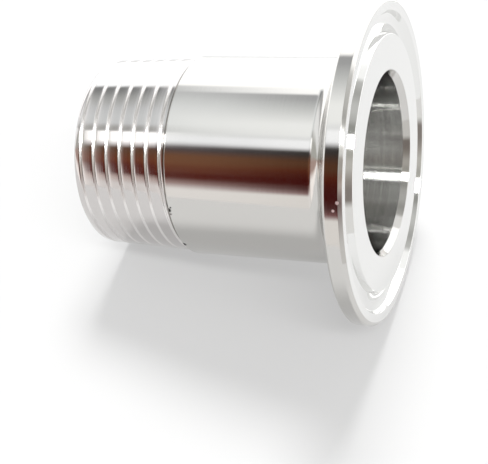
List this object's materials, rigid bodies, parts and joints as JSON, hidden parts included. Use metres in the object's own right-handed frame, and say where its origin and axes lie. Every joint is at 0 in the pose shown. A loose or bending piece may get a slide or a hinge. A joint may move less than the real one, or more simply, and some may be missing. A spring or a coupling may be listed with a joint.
{
  "type": "sanitary clamp threaded adapter",
  "caption": "Turned steel pipe adapter with a clamp ferrule flange and gasket groove at one end and a tapered male pipe thread at the other, bored through.",
  "frame": {"origin": "centre of the threaded end face, on which the part stands", "axes": "+Z along the bore axis, from the threaded end to the clamp flange's sealing face"},
  "size_m": [0.0505, 0.0504, 0.0469],
  "materials": {
    "steel": "bright turned and polished stainless steel"
  },
  "bodies": {
    "root": {"adapter_body": "steel"}
  },
  "joints": []
}
